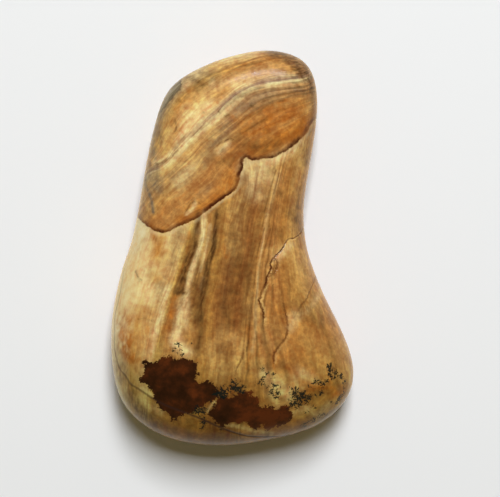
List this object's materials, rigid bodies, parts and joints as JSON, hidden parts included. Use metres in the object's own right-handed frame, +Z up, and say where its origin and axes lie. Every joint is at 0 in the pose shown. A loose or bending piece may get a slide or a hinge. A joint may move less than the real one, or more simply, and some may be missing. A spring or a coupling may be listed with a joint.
{
  "type": "picture jasper",
  "caption": "Tumbled and polished picture jasper: a flattened, waisted pear-shaped stone with a broad foot, a narrow head and a small flat spot that it rests on.",
  "frame": {"origin": "centre of the bounding box's underside, on the plane that the stone rests on", "axes": "+Y along the length from the broad foot to the narrow head, +X towards the waisted side, +Z up out of the face that shows the cap and the blotches"},
  "size_m": [0.027, 0.0436, 0.0125],
  "materials": {
    "polished_jasper": "tumble-polished jasper, opaque, tan and brown bands with dark brown blotches"
  },
  "bodies": {
    "root": {"picture_jasper": "polished_jasper"}
  },
  "joints": []
}
